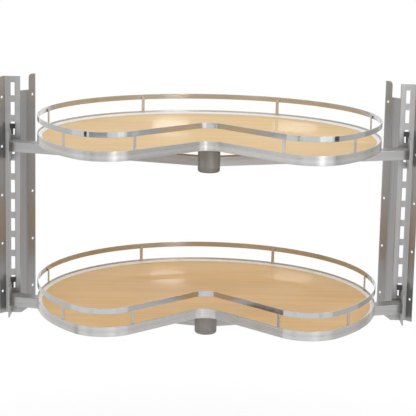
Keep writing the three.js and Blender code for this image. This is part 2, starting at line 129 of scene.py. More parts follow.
class HubSettings(bpy.types.PropertyGroup):
    """The hubs, turntable plates and tray screws."""

    rim_radius: length("Lower rim", "Radius of the hub's lower edge", 0.0055)
    groove_height: length("Groove height", "Groove above the hub's underside", 0.0095)
    groove_depth: length("Groove depth", "Depth of that groove", 0.0005)
    groove_width: length("Groove width", "Width of that groove", 0.0011)
    wall: length("Wall", "Thickness of the hub's wall", 0.004)
    ledge: length("Ledge", "Step inside that the bush sits on", 0.004)
    bush_height: length("Bush height", "Depth of the bush's seat", 0.030)
    plate_rim: length("Plate rim", "Width of the turntable plate's raised rim", 0.006)
    plate_press: length("Plate pressing", "Depth of the ring pressed into the turntable plate", 0.0006)
    segments: IntProperty(name="Segments", description="Points round the hub", default=72, min=12)


class ClipSettings(bpy.types.PropertyGroup):
    """The black lock clips."""

    edge: length("Clip edge", "Rounding of the clip's edges", 0.0005)
    ribs: IntProperty(name="Ribs", description="Grip ribs on the clip's head", default=4, min=1)
    rib_height: length("Rib height", "Height of a grip rib", 0.0011)
    rib_proud: length("Rib depth", "How far a rib stands out of the head", 0.0005)
    rib_margin: length("Rib margin", "Bare edge of the head beside the ribs", 0.0014)


class FinishSettings(bpy.types.PropertyGroup):
    """Colours of the finishes."""

    steel: colour("Steel", "Satin sheet steel", (0.44, 0.443, 0.448))
    steel_dull: colour("Dull steel", "Darker streaks in the sheet steel", (0.375, 0.372, 0.368))
    # painted light: the arms' steel is the uprights' sheet steel, set lighter for the light on the
    # arms' fronts and eased back for their shaded stretch behind the band
    arm: colour("Arm steel", "Satin steel of the arms", (0.475, 0.476, 0.478))
    arm_dull: colour("Dull arm steel", "Darker streaks in the arms", (0.415, 0.412, 0.407))
    nickel: colour("Nickel", "Brushed bars", (0.63, 0.63, 0.622))
    nickel_dull: colour("Dull nickel", "Darker streaks in the brushed bars", (0.55, 0.545, 0.53))
    chrome: colour("Bright plate", "Polished rails", (0.56, 0.565, 0.57))
    zinc: colour("Zinc", "Plated spindles, plates and screws", (0.50, 0.50, 0.495))
    hub: colour("Hub", "Satin coat of the hubs", (0.265, 0.25, 0.236))
    maple: colour("Maple", "Pale wood between the growth lines", (0.745, 0.495, 0.205))
    maple_dark: colour("Maple grain", "Growth lines and fine figure", (0.60, 0.385, 0.15))
    trim: colour("Trim", "Pale edge trim", (0.88, 0.885, 0.88))
    black: colour("Black plastic", "Lock clips", (0.022, 0.022, 0.026))
    white: colour("White plastic", "Bushes and washers", (0.78, 0.78, 0.75))


class StageSettings(bpy.types.PropertyGroup):
    """Floor, light and camera."""

    floor_drop: length("Floor drop", "Floor below the uprights' lower ends", 0.55)
    floor_size: length("Floor size", "Side of the square floor", 60)
    shadow_reach: length("Shadow reach", "How far from the axis the floor shows a shadow", 1.6)
    shadow_share: factor("Shadow share", "How much of the floor's own shading shows", 0.45)
    floor_colour: colour("Floor", "Pale floor", (0.93, 0.93, 0.93))
    world_light: FloatProperty(
        name="World", description="Strength of the even light", default=0.9, min=0
    )
    camera_distance: length("Camera distance", "Camera in front of the axis", 3.696)
    camera_height: length("Camera height", "Camera above the uprights' lower ends", 1.067)
    camera_pitch: angle("Camera pitch", "Downward tilt of the camera", 11.26)
    camera_roll: angle("Camera roll", "Roll of the camera", 1.2)
    camera_lens: FloatProperty(name="Lens", description="Focal length", default=135.1, unit="CAMERA")


GROUPS = {
    "sheet": SheetSettings,
    "tray": TraySettings,
    "hub": HubSettings,
    "clip": ClipSettings,
    "finish": FinishSettings,
    "stage": StageSettings,
}


class CarouselSettings(bpy.types.PropertyGroup):
    """All of the carousel's settings."""

    __annotations__ = {name: PointerProperty(type=group) for name, group in GROUPS.items()}


# ---- Shader nodes ------------------------------------------------
def set_or_link(tree, socket, value):
    """Gives an input a plain value, or links it where the value is a socket."""
    if isinstance(value, bpy.types.NodeSocket):
        tree.links.new(value, socket)
    else:
        socket.default_value = value


def put(tree, kind, inputs=None, **settings):
    """Adds a node with its settings and inputs."""
    made = tree.nodes.new(kind)
    for key, value in settings.items():
        setattr(made, key, value)
    for key, value in (inputs or {}).items():
        set_or_link(tree, made.inputs[key], value)
    return made


def maths(tree, operation, first, second=0.0):
    return put(tree, "ShaderNodeMath", {0: first, 1: second}, operation=operation).outputs[0]


def scaled(tree, value, by):
    return maths(tree, "MULTIPLY", value, by)


def summed(tree, first, *others):
    for other in others:
        first = maths(tree, "ADD", first, other)
    return first


def stretched(tree, vector, by):
    """Coordinates stretched by a factor of their own along each axis."""
    return put(tree, "ShaderNodeVectorMath", {0: vector, 1: by}, operation="MULTIPLY").outputs[0]


def spread(tree, value, low=0.0, high=1.0, to_low=0.0, to_high=1.0):
    """A value's range, stretched smoothly to another."""
    limits = {"Value": value, "From Min": low, "From Max": high, "To Min": to_low, "To Max": to_high}
    return put(tree, "ShaderNodeMapRange", limits, interpolation_type="SMOOTHSTEP").outputs["Result"]


def blended(tree, share, first, second):
    """Two colours mixed by a share."""
    inputs = {"Factor": share, "A": first, "B": second}
    made = put(tree, "ShaderNodeMix", data_type="RGBA")
    for socket in [s for s in made.inputs if s.enabled]:
        set_or_link(tree, socket, inputs[socket.name])
    return next(s for s in made.outputs if s.enabled)


def rgba(setting):
    return (*setting, 1.0)


def toned(setting, gain=1.0, lift=0.0):
    """A colour made lighter or darker, and white at most."""
    return rgba(min(1.0, gain * c + lift) for c in setting)


def start_group(name, inputs, outputs):
    """An empty node group. Its inputs are name: default, and its outputs are plain values."""
    tree = bpy.data.node_groups.new(name, "ShaderNodeTree")
    for label, default in inputs.items():
        kind = "NodeSocketVector" if isinstance(default, tuple) else "NodeSocketFloat"
        socket = tree.interface.new_socket(name=label, in_out="INPUT", socket_type=kind)
        socket.default_value = default
    for label in outputs:
        tree.interface.new_socket(name=label, in_out="OUTPUT", socket_type="NodeSocketFloat")
    entry = tree.nodes.new("NodeGroupInput")
    leave = tree.nodes.new("NodeGroupOutput")
    return tree, entry.outputs, leave.inputs


def object_place(tree):
    return put(tree, "ShaderNodeTexCoord").outputs["Object"]


def noise(tree, vector, scale, detail=2.0, rough=0.5):
    inputs = {"Vector": vector, "Scale": scale, "Detail": detail, "Roughness": rough}
    return put(tree, "ShaderNodeTexNoise", inputs).outputs["Fac"]


def build_brushed_lines():
    """Fine lines and broad streaks drawn out along one direction by a stretch of the coordinates."""
    inputs = {"Stretch": (1, 1, 1), "Turn": 0.0}
    tree, entry, leave = start_group("Brushed lines", inputs, ("Lines", "Streaks"))
    place = put(tree, "ShaderNodeSeparateXYZ", {0: object_place(tree)}).outputs
    one_side = put(
        tree,
        "ShaderNodeCombineXYZ",
        {"X": maths(tree, "ABSOLUTE", place["X"]), "Y": place["Y"], "Z": place["Z"]},
    ).outputs[0]
    turned_place = put(
        tree,
        "ShaderNodeVectorRotate",
        {"Vector": one_side, "Angle": entry["Turn"]},
        rotation_type="Z_AXIS",
    ).outputs[0]
    drawn_out = stretched(tree, turned_place, entry["Stretch"])
    fine = noise(tree, drawn_out, scale=1.0, detail=3.0, rough=0.6)
    broad = noise(tree, drawn_out, scale=0.09)
    tree.links.new(spread(tree, fine, low=0.3, high=0.7), leave["Lines"])
    tree.links.new(spread(tree, broad, low=0.34, high=0.66), leave["Streaks"])
    return tree


def build_handling_marks():
    """Soft patches where hands and cloths have been."""
    tree, entry, leave = start_group("Handling marks", {"Scale": 12.0}, ("Marks",))
    patches = noise(tree, object_place(tree), entry["Scale"], detail=4.0, rough=0.62)
    tree.links.new(spread(tree, patches, low=0.35, high=0.7), leave["Marks"])
    return tree


def build_worn_edges():
    """Edges found by how far a rounded normal leaves the face's own."""
    tree, entry, leave = start_group("Worn edges", {"Width": 0.0008}, ("Edge",))
    rounded = put(tree, "ShaderNodeBevel", {"Radius": entry["Width"]}, samples=6).outputs[0]
    facing = put(tree, "ShaderNodeNewGeometry").outputs["Normal"]
    along = put(tree, "ShaderNodeVectorMath", {0: rounded, 1: facing}, operation="DOT_PRODUCT")
    bent = maths(tree, "SUBTRACT", 1.0, along.outputs["Value"])
    tree.links.new(spread(tree, bent, low=0.02, high=0.22), leave["Edge"])
    return tree


EFFECTS = {
    "Brushed lines": build_brushed_lines,
    "Handling marks": build_handling_marks,
    "Worn edges": build_worn_edges,
}


def effect(tree, name, **values):
    """Places a shared effect in a material, building it the first time."""
    group = bpy.data.node_groups.get(name) or EFFECTS[name]()
    return put(tree, "ShaderNodeGroup", values, node_tree=group).outputs


# ---- Materials ---------------------------------------------------
def material(name, build):
    """A finish by its name, built the first time it is asked for."""
    made = bpy.data.materials.get(name)
    if made is None:
        made = bpy.data.materials.new(name)
        made.use_nodes = True
        build(made.node_tree, made.node_tree.nodes["Principled BSDF"])
    return made


def feed(tree, shader, **sockets):
    """Links or sets the shader's own sockets."""
    for key, value in sockets.items():
        set_or_link(tree, shader.inputs[key.replace("_", " ")], value)


def bumped(tree, height, strength, distance=0.0002):
    inputs = {"Height": height, "Strength": strength, "Distance": distance}
    return put(tree, "ShaderNodeBump", inputs).outputs["Normal"]


UPRIGHT, LEVEL = 0.0, 0.25         # the lines' direction, as the shader's turn of its stretch


def brushed_metal(name, colours, stretch, rough, lines_run, turn=0.0):
    """Satin metal with duller streaks and brighter edges.

    stretch is how many streaks and lines the metal shows in a metre of each axis.
    """
    light, dark = colours

    def build(tree, shader):
        brushed = effect(tree, "Brushed lines", Stretch=stretch, Turn=turn)
        marks = effect(tree, "Handling marks", Scale=9.0)["Marks"]
        edge = effect(tree, "Worn edges", Width=0.0007)["Edge"]
        streaky = blended(tree, brushed["Streaks"], rgba(light), rgba(dark))
        lined = blended(tree, scaled(tree, brushed["Lines"], by=0.2), streaky, rgba(dark))
        base = blended(tree, scaled(tree, edge, by=0.5), lined, toned(light, gain=1.25))
        grain = scaled(tree, brushed["Lines"], by=0.12)
        patch = scaled(tree, marks, by=0.06)
        roughness = summed(tree, grain, patch, rough)
        normal = bumped(tree, brushed["Lines"], strength=0.12)
        feed(tree, shader, Base_Color=base, Metallic=1.0, Roughness=roughness, Normal=normal)
        feed(tree, shader, Anisotropic=0.6, Anisotropic_Rotation=lines_run)

    return material(name, build)


def upright_steel(finish):
    """Brushed up and down."""
    colours = (finish.steel, finish.steel_dull)
    return brushed_metal("upright_steel", colours, stretch=(900, 900, 5), rough=0.3, lines_run=UPRIGHT)


def lit_arm_steel(finish, turn):
    """Brushed along the arm, which runs at an angle from the hub. Its colours are painted light: the
    uprights' steel set lighter for the arms' lit fronts, eased back for their shaded stretch behind the
    band.
    """
    colours = (finish.arm, finish.arm_dull)
    return brushed_metal(
        "lit_arm_steel", colours, stretch=(5, 900, 900), rough=0.3, lines_run=LEVEL, turn=turn
    )


def band_nickel(finish):
    """Brushed round the tray."""
    colours = (finish.nickel, finish.nickel_dull)
    return brushed_metal("band_nickel", colours, stretch=(4, 4, 1300), rough=0.22, lines_run=LEVEL)


def post_nickel(finish):
    colours = (finish.nickel, finish.nickel_dull)
    return brushed_metal("post_nickel", colours, stretch=(1100, 1100, 12), rough=0.2, lines_run=UPRIGHT)


def rail_chrome(finish):
    """Polished plate with the finest of lines and a few dull marks."""

    def build(tree, shader):
        brushed = effect(tree, "Brushed lines", Stretch=(5, 5, 1600))
        marks = effect(tree, "Handling marks", Scale=22.0)["Marks"]
        dulled = scaled(tree, marks, by=0.4)
        base = blended(tree, dulled, rgba(finish.chrome), toned(finish.chrome, gain=0.9))
        grain = scaled(tree, brushed["Lines"], by=0.05)
        patch = scaled(tree, marks, by=0.05)
        roughness = summed(tree, grain, patch, 0.07)
        normal = bumped(tree, brushed["Lines"], strength=0.04, distance=0.0001)
        feed(tree, shader, Base_Color=base, Metallic=1.0, Roughness=roughness, Normal=normal)
        feed(tree, shader, Anisotropic=0.7, Anisotropic_Rotation=LEVEL)

    return material("rail_chrome", build)


def zinc_plate(finish):
    """Zinc with a faint crystal pattern."""

    def build(tree, shader):
        crystals = {"Vector": object_place(tree), "Scale": 380.0}
        cells = put(tree, "ShaderNodeTexVoronoi", crystals).outputs["Color"]
        tone = put(tree, "ShaderNodeSeparateColor", {0: cells}).outputs[0]
        edge = effect(tree, "Worn edges", Width=0.0006)["Edge"]
        plated = blended(tree, tone, rgba(finish.zinc), toned(finish.zinc, gain=0.84))
        base = blended(tree, scaled(tree, edge, by=0.6), plated, toned(finish.zinc, gain=1.3))
        roughness = spread(tree, tone, to_low=0.36, to_high=0.5)
        feed(tree, shader, Base_Color=base, Metallic=1.0, Roughness=roughness)

    return material("zinc_plate", build)


def hub_coat(finish):
    """Dark satin coat with a fine orange-peel surface."""

    def build(tree, shader):
        peel = noise(tree, object_place(tree), scale=900.0)
        marks = effect(tree, "Handling marks", Scale=30.0)["Marks"]
        edge = effect(tree, "Worn edges", Width=0.0009)["Edge"]
        coat = blended(tree, marks, rgba(finish.hub), toned(finish.hub, gain=0.8))
        base = blended(tree, scaled(tree, edge, by=0.3), coat, toned(finish.hub, gain=1.7))
        roughness = spread(tree, marks, to_low=0.34, to_high=0.46)
        normal = bumped(tree, peel, strength=0.15)
        feed(tree, shader, Base_Color=base, Metallic=0.6, Roughness=roughness, Normal=normal)

    return material("hub_coat", build)


def maple_board(finish):
    """Maple veneer: growth bands and short pores along X, under a satin lacquer."""

    def build(tree, shader):
        place = object_place(tree)
        drawn = stretched(tree, place, by=(1.6, 17.0, 9.0))
        along = stretched(tree, place, by=(6.0, 260.0, 260.0))
        growth = {
            "Vector": drawn,
            "Scale": 0.9,
            "Distortion": 8.0,
            "Detail": 3.0,
            "Detail Scale": 0.8,
            "Phase Offset": noise(tree, place, scale=3.0),
        }
        bands = put(tree, "ShaderNodeTexWave", growth, bands_direction="Y").outputs["Fac"]
        figure = spread(tree, noise(tree, drawn, scale=1.4, detail=4.0, rough=0.55), low=0.3, high=0.7)
        pores = noise(tree, along, scale=1.0, detail=3.0, rough=0.6)
        ground = blended(tree, figure, toned(finish.maple, gain=1.12), rgba(finish.maple))
        banded = blended(tree, scaled(tree, bands, by=0.15), ground, rgba(finish.maple_dark))
        fine = scaled(tree, spread(tree, pores, low=0.52, high=0.78), by=0.3)
        base = blended(tree, fine, banded, rgba(finish.maple_dark))
        marks = effect(tree, "Handling marks", Scale=7.0)["Marks"]
        roughness = spread(tree, marks, to_low=0.42, to_high=0.5)
        normal = bumped(tree, pores, strength=0.05)
        feed(tree, shader, Base_Color=base, Roughness=roughness, Normal=normal)
        feed(tree, shader, Specular_IOR_Level=0.25, Coat_Weight=0.07, Coat_Roughness=0.05)

    return material("maple_board", build)


def moulded_plastic(name, tint, rough, worn, texture_scale=1400.0):
    """Plastic with a fine moulded texture and paler rubbed edges."""

    def build(tree, shader):
        texture = noise(tree, object_place(tree), texture_scale)
        marks = effect(tree, "Handling marks", Scale=25.0)["Marks"]
        edge = effect(tree, "Worn edges", Width=0.0006)["Edge"]
        ground = blended(tree, marks, rgba(tint), toned(tint, gain=0.93))
        base = blended(tree, scaled(tree, edge, by=0.5), ground, toned(tint, lift=worn))
        roughness = spread(tree, marks, to_low=rough, to_high=rough + 0.1)
        normal = bumped(tree, texture, strength=0.12)
        feed(tree, shader, Base_Color=base, Roughness=roughness, Normal=normal)

    return material(name, build)


def clip_plastic(finish):
    return moulded_plastic("clip_plastic", finish.black, rough=0.42, worn=0.05)


def bearing_plastic(finish):
    return moulded_plastic("bearing_plastic", finish.white, rough=0.38, worn=0.04)


def trim_strip(finish):
    return moulded_plastic("trim_strip", finish.trim, rough=0.32, worn=0.03, texture_scale=700.0)


# ---- Meshes ------------------------------------------------------
def add_object(name, data):
    made = bpy.data.objects.new(name, data)
    bpy.context.scene.collection.objects.link(made)
    return made


def mesh_of(name, shape):
    """Turns a finished shape into a mesh and frees it."""
    mesh = bpy.data.meshes.new(name)
    shape.to_mesh(mesh)
    shape.free()
    return mesh


def body_of(node):
    """The body that a node of the model rides on."""
    bodies = frame["record"]["behaviour"]["bodies"]
    return next(body for body, members in bodies.items() if node in members)


def show(node, ending, shape, finish):
    """Makes the piece that takes a node's place: shaded, dressed and riding on the node's body."""
    bmesh.ops.recalc_face_normals(shape, faces=shape.faces)
    name = f"{node}_{ending}"
    mesh = mesh_of(name, shape)
    if "custom_normal" in mesh.attributes:
        mesh.attributes.remove(mesh.attributes["custom_normal"])
    mesh.materials.clear()
    mesh.materials.append(finish)
    mesh.shade_smooth()
    mesh.set_sharp_from_angle(angle=CREASE)
    piece = add_object(name, mesh)
    flatten = piece.modifiers.new("Flat faces stay flat", "WEIGHTED_NORMAL")
    flatten.keep_sharp = True
    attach(piece, body_of(node))
    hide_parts(node)
    return piece


def dress(node, finish):
    """Gives a node of the model, whose own shape is right, its finish."""
    piece = frame["nodes"][node]
    piece.data.materials.clear()
    piece.data.materials.append(finish)


def copy_of(node):
    """The node's solid with its flat faces whole again."""
    shape = bmesh.new()
    shape.from_mesh(frame["nodes"][node].data)
    bmesh.ops.remove_doubles(shape, verts=shape.verts, dist=WELD)
    bmesh.ops.dissolve_limit(shape, angle_limit=FLAT, verts=shape.verts, edges=shape.edges)
    return shape


def round_edges(shape, edges, radius, segments):
    bmesh.ops.bevel(
        shape,
        geom=edges,
        offset=radius,
        segments=segments,
        profile=0.5,
        affect="EDGES",
        clamp_overlap=True,
    )


def ease(shape, limit, radius, segments):
    """Rounds the edges that turn more than a limit."""
    edges = [e for e in shape.edges if e.is_manifold and e.calc_face_angle() > limit]
    round_edges(shape, edges, radius, segments)


def arc(x, y, radius, start, end, steps):
    angles = (start + (end - start) * i / steps for i in range(steps + 1))
    return [(x + radius * math.cos(a), y + radius * math.sin(a)) for a in angles]


def kidney(tray, inset):
    """The tray's outline drawn in by an inset, anticlockwise from above."""
    lobe = tray.lobe_radius
    both = lobe * math.sqrt(2) - tray.notch_apex
    lobe_x = both / 2 + math.sqrt((TRAY_RADIUS - lobe) ** 2 / 2 - both**2 / 4)
    lobe_y = both - lobe_x
    lobe_angle = math.atan2(lobe_y, lobe_x)
    notch_y = -tray.notch_apex - tray.notch_radius * math.sqrt(2)
    side = STRAIGHT_SIDE
    arcs = (
        (0, 0, TRAY_RADIUS - inset, lobe_angle, math.pi - lobe_angle),
        (-lobe_x, lobe_y, lobe - inset, math.pi - lobe_angle, 2 * math.pi - side),
        (0, notch_y, tray.notch_radius + inset, math.pi / 2 + side, math.pi / 2 - side),
        (lobe_x, lobe_y, lobe - inset, math.pi + side, 2 * math.pi + lobe_angle),
    )
    points = []
    for x, y, radius, start, end in arcs:
        steps = math.ceil(abs(end - start) / tray.arc_step)
        stretch = arc(x, y, radius, start, end, steps)
        meets_last = bool(points) and math.dist(points[-1], stretch[0]) < WELD
        points += stretch[meets_last:]
    return points[:-1]


def rounded_section(corners, steps=4):
    """A section's corners (inset, height, radius), each turned into an arc."""
    points = []
    for i, (x, z, radius) in enumerate(corners):
        here = Vector((x, z))
        before = Vector(corners[i - 1][:2])
        after = Vector(corners[(i + 1) % len(corners)][:2])
        back, on = (before - here).normalized(), (after - here).normalized()
        half = back.angle(on) / 2
        if radius == 0:
            points.append(here)
            continue
        reach = radius / math.tan(half)
        centre = here + (back + on).normalized() * (radius / math.sin(half))
        first = here + back * reach - centre
        turn = first.angle_signed(here + on * reach - centre)
        for step in range(steps + 1):
            spin = Matrix.Rotation(-turn * step / steps, 2)
            points.append(centre + spin @ first)
    return points


def swept(tray, section, lidded=False):
    """A section carried round the tray's edge. A lidded one is filled at its first and last loop."""
    shape = bmesh.new()
    loops = []
    for inset, z in section:
        loops.append([shape.verts.new((x, y, z)) for x, y in kidney(tray, inset)])
    pairs = list(zip(loops, loops[1:]))
    if not lidded:
        pairs.append((loops[-1], loops[0]))
    around = len(loops[0])
    for low, high in pairs:
        for i in range(around):
            after = (i + 1) % around
            shape.faces.new((low[i], low[after], high[after], high[i]))
    if lidded:
        shape.faces.new(loops[0])
        shape.faces.new(loops[-1])
    return shape


def turned(profile, segments, x=0.0, y=0.0):
    """A profile of (radius, height) turned round an upright axis. Ends on the axis become poles."""
    shape = bmesh.new()
    rings = []
    for radius, z in profile:
        if radius < WELD:
            rings.append([shape.verts.new((x, y, z))])
            continue
        angles = (2 * math.pi * i / segments for i in range(segments))
        spots = ((x + radius * math.cos(a), y + radius * math.sin(a), z) for a in angles)
        rings.append([shape.verts.new(spot) for spot in spots])
    for low, high in zip(rings, rings[1:]):
        for i in range(segments):
            after = (i + 1) % segments
            below = [low[i % len(low)], low[after % len(low)]]
            above = [high[after % len(high)], high[i % len(high)]]
            shape.faces.new(list(dict.fromkeys(below + above)))
    return shape


def add_bar(shape, low, high, place=Matrix.Identity(4)):
    """A bar between two corners, set in place; returns its points."""
    size = high - low
    middle = (low + high) / 2
    spot = place @ Matrix.Translation(middle) @ Matrix.Diagonal((*size, 1))
    return bmesh.ops.create_cube(shape, size=1.0, matrix=spot)["verts"]


# ---- Pieces ------------------------------------------------------
class Undoable:
    """What all of the operators share."""

    bl_options = {"REGISTER", "UNDO"}


def tier_nodes(kind):
    """The two nodes of a kind, one on each tier."""
    return [f"{tier}_{kind}" for tier in TIERS]


def corner_nodes(kind):
    """The four nodes of a kind, one on each side of each tier."""
    return [f"{tier}_{side}_{kind}" for tier in TIERS for side in SIDES]


class CAROUSEL_OT_uprights(Undoable, bpy.types.Operator):
    """Slotted uprights of folded sheet steel"""

    bl_idname = "carousel.uprights"
    bl_label = "Uprights"

    def execute(self, context):
        chosen = context.scene.carousel
        finish = upright_steel(chosen.finish)
        for side in SIDES:
            node = f"{side}_upright"
            shape = copy_of(node)
            ease(shape, chosen.sheet.sharp_angle, chosen.sheet.edge_radius, segments=2)
            show(node, "sheet", shape, finish)
        return {"FINISHED"}


class CAROUSEL_OT_hook_plates(Undoable, bpy.types.Operator):
    """Hook plates that hang the arms in the uprights' slots"""

    bl_idname = "carousel.hook_plates"
    bl_label = "Hook plates"

    def execute(self, context):
        chosen = context.scene.carousel
        finish = upright_steel(chosen.finish)
        for node in corner_nodes("hook_plate"):
            shape = copy_of(node)
            ease(shape, chosen.sheet.sharp_angle, chosen.sheet.plate_edge, segments=3)
            show(node, "cut", shape, finish)
        return {"FINISHED"}


class CAROUSEL_OT_arms(Undoable, bpy.types.Operator):
    """Tapered arms, folded along their upper edges"""

    bl_idname = "carousel.arms"
    bl_label = "Arms"

    def execute(self, context):
        chosen = context.scene.carousel
        low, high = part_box("upper_right_arm")
        slope = math.atan2(high.y - low.y, high.x - low.x)
        finish = lit_arm_steel(chosen.finish, -slope)
        for node in corner_nodes("arm"):
            shape = copy_of(node)
            self.fold(shape, node, chosen.sheet.fold_radius)
            ease(shape, chosen.sheet.sharp_angle, chosen.sheet.edge_radius, segments=2)
            show(node, "channel", shape, finish)
        return {"FINISHED"}

    def fold(self, shape, node, radius):
        """Rounds the two long edges where the top turns down into the sides."""
        low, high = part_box(node)
        reach = (high.x - low.x) / 2
        top = high.z - WELD
        at_top = [e for e in shape.edges if all(v.co.z > top for v in e.verts)]
        round_edges(shape, [e for e in at_top if e.calc_length() > reach], radius, segments=5)


class CAROUSEL_OT_lock_clips(Undoable, bpy.types.Operator):
    """Black lock clips with grip ribs across their heads"""

    bl_idname = "carousel.lock_clips"
    bl_label = "Lock clips"

    def execute(self, context):
        chosen = context.scene.carousel
        finish = clip_plastic(chosen.finish)
        for node in corner_nodes("lock_clip"):
            shape = copy_of(node)
            ease(shape, chosen.sheet.sharp_angle, chosen.clip.edge, segments=3)
            self.add_ribs(shape, node, chosen.clip)
            show(node, "moulding", shape, finish)
        return {"FINISHED"}

    def add_ribs(self, shape, node, clip):
        """Ribs across the front of the clip's head, which stands above the hook plate."""
        low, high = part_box(node)
        head_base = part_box(node.replace("lock_clip", "hook_plate"))[1].z
        pitch = (high.z - head_base) / clip.ribs
        half = clip.rib_height / 2
        for i in range(clip.ribs):
            middle = head_base + (i + 0.5) * pitch
            first = Vector((low.x + clip.rib_margin, low.y - clip.rib_proud, middle - half))
            last = Vector((high.x - clip.rib_margin, low.y + clip.rib_proud, middle + half))
            points = add_bar(shape, first, last)
            edges = list(dict.fromkeys(e for v in points for e in v.link_edges))
            round_edges(shape, edges, half / 2, segments=2)


class CAROUSEL_OT_hubs(Undoable, bpy.types.Operator):
    """Hub housings, turned with a rounded lower rim and a groove above it"""

    bl_idname = "carousel.hubs"
    bl_label = "Hubs"

    def execute(self, context):
        chosen = context.scene.carousel
        finish = hub_coat(chosen.finish)
        for node in tier_nodes("hub_housing"):
            shape = turned(self.profile(node, chosen.hub), chosen.hub.segments)
            show(node, "turned", shape, finish)
        return {"FINISHED"}

    def profile(self, node, hub):
        low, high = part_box(node)
        radius, base, top = high.x, low.z, high.z
        rim_x, rim_z = radius - hub.rim_radius, base + hub.rim_radius
        groove = base + hub.groove_height
        mouth, floor = hub.groove_width / 2, hub.groove_width / 4
        lead = hub.groove_depth
        bore = radius - hub.wall
        well = bore - hub.ledge
        seat = top - hub.bush_height
        return [
            (0, base),
            *arc(rim_x, rim_z, hub.rim_radius, -math.pi / 2, 0, steps=8),
            (radius, groove - mouth),
            (radius - hub.groove_depth, groove - floor),
            (radius - hub.groove_depth, groove + floor),
            (radius, groove + mouth),
            (radius, top - lead),
            (radius - lead, top),
            (bore + lead, top),
            (bore, top - lead),
            (bore, seat),
            (well, seat),
            (well, base + hub.wall),
            (0, base + hub.wall),
        ]


class CAROUSEL_OT_bearings(Undoable, bpy.types.Operator):
    """Bushes, washers, spindles and retaining rings inside the hubs"""

    bl_idname = "carousel.bearings"
    bl_label = "Bearings"

    def execute(self, context):
        chosen = context.scene.carousel
        plastic = bearing_plastic(chosen.finish)
        zinc = zinc_plate(chosen.finish)
        for tier in TIERS:
            dress(f"{tier}_hub_bush", plastic)
            dress(f"{tier}_thrust_washer", plastic)
            dress(f"{tier}_spindle", zinc)
            dress(f"{tier}_retaining_ring", zinc)
        return {"FINISHED"}


class CAROUSEL_OT_turntables(Undoable, bpy.types.Operator):
    """Turntable plates with a pressed ring and a raised rim"""

    bl_idname = "carousel.turntables"
    bl_label = "Turntable plates"

    def execute(self, context):
        chosen = context.scene.carousel
        finish = zinc_plate(chosen.finish)
        for node in tier_nodes("turntable_plate"):
            shape = turned(self.profile(node, chosen.hub), chosen.hub.segments)
            show(node, "pressed", shape, finish)
        return {"FINISHED"}

    def profile(self, node, hub):
        low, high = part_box(node)
        radius, base, top = high.x, low.z, high.z
        press = hub.plate_press
        ring_outer = radius - hub.plate_rim
        ring_inner = ring_outer - 2 * hub.plate_rim
        return [
            (0, base),
            (ring_inner, base),
            (ring_inner + press, base + press),
            (ring_outer - press, base + press),
            (ring_outer, base),
            (radius - press, base),
            (radius, base + press),
            (radius, top - press),
            (radius - press, top),
            (0, top),
        ]


# the tray screws
THREAD_PITCH = 0.0012
SHANK_SHARE = 0.5                  # the shank's radius against the head's
ROOT_SHARE = 0.8                   # the thread's root against its crest
SCREW_SEGMENTS = 24
CROSS_REACH = 0.0022               # half of the drive's length
CROSS_HALF_WIDTH = 0.0004
CROSS_DEPTH = 0.0009


class CAROUSEL_OT_tray_screws(Undoable, bpy.types.Operator):
    """Pan-head screws that hold the boards to the turntable plates"""

    bl_idname = "carousel.tray_screws"
    bl_label = "Tray screws"

    def execute(self, context):
        chosen = context.scene.carousel
        finish = zinc_plate(chosen.finish)
        for tier in TIERS:
            for node in sorted(n for n in frame["nodes"] if n.startswith(f"{tier}_tray_screw_")):
                piece = show(node, "turned", self.screw(node, tier), finish)
                self.cut_drive(piece, node)
        return {"FINISHED"}

    def screw(self, node, tier):
        """A domed head under a shank with a rolled thread."""
        low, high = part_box(node)
        middle = (low + high) / 2
        head = (high.x - low.x) / 2
        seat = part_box(f"{tier}_turntable_plate")[0].z
        shank = SHANK_SHARE * head
        dome = arc(0, seat, 1, -math.pi / 2, 0, steps=6)
        profile = [(head * x, low.z + (z - seat + 1) * (seat - low.z)) for x, z in dome]
        profile.append((shank, seat))
        for i in range(int((high.z - seat) / THREAD_PITCH) - 1):
            profile.append((shank, seat + i * THREAD_PITCH))
            profile.append((ROOT_SHARE * shank, seat + (i + 0.5) * THREAD_PITCH))
        profile.append((0, high.z))
        return turned(profile, SCREW_SEGMENTS, middle.x, middle.y)

    def cut_drive(self, piece, node):
        """Cuts a cross into the head's dome."""
        low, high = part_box(node)
        middle = (low + high) / 2
        cross = bmesh.new()
        for x, y in ((CROSS_REACH, CROSS_HALF_WIDTH), (CROSS_HALF_WIDTH, CROSS_REACH)):
            first = Vector((middle.x - x, middle.y - y, low.z - CROSS_DEPTH))
            last = Vector((middle.x + x, middle.y + y, low.z + CROSS_DEPTH))
            add_bar(cross, first, last)
        cutter = add_object(f"{node}_cross", mesh_of(f"{node}_cross", cross))
        cut = piece.modifiers.new("Cross", "BOOLEAN")
        cut.operation = "DIFFERENCE"
        cut.object = cutter
        cut.use_self = True
        bpy.context.view_layer.update()
        seen = piece.evaluated_get(bpy.context.evaluated_depsgraph_get())
        piece.data = bpy.data.meshes.new_from_object(seen)
        piece.modifiers.clear()
        bpy.data.objects.remove(cutter)


class CAROUSEL_OT_boards(Undoable, bpy.types.Operator):
    """Kidney-shaped maple boards with a rebate for the edge trim"""

    bl_idname = "carousel.boards"
    bl_label = "Boards"

    def execute(self, context):
        chosen = context.scene.carousel
        tray = chosen.tray
        finish = maple_board(chosen.finish)
        outer = tray.bar_thickness + tray.fit_gap
        face = outer + tray.trim_width + tray.fit_gap
        edge = tray.board_edge
        chamfer = edge / 4
        for node in tier_nodes("board"):
            low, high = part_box(node)
            rebate = high.z - tray.trim_lip
            section = [
                *arc(outer + edge, low.z + edge, edge, -math.pi / 2, -math.pi, steps=4),
                (outer, rebate),
                (face, rebate),
                (face, high.z - chamfer),
                (face + chamfer, high.z),
            ]
            show(node, "veneered", swept(tray, section, lidded=True), finish)
        return {"FINISHED"}


